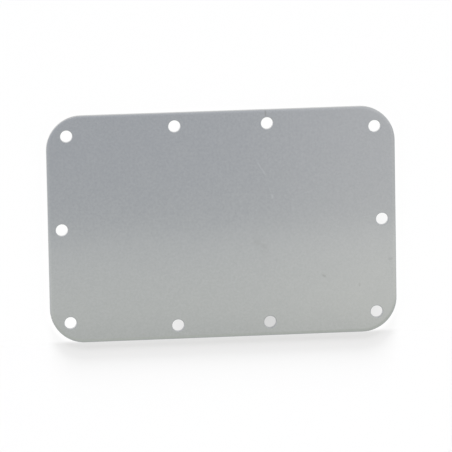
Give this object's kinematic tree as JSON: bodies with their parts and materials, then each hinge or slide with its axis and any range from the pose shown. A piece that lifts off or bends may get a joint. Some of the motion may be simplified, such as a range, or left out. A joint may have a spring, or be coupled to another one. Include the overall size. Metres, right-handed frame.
{
  "type": "cover plate",
  "caption": "Flat rectangular cover plate cut from sheet metal, with rounded corners and a ring of screw holes near its edges.",
  "frame": {"origin": "middle of the back face, which the plate lies on", "axes": "+X along the plate's length, +Y along its width, +Z out of the front face"},
  "size_m": [0.16, 0.105, 0.002],
  "materials": {
    "sheet_metal": "mill-finish sheet, satin to matte, with a fine even grain"
  },
  "bodies": {
    "root": {"cover_plate": "sheet_metal"}
  },
  "joints": []
}
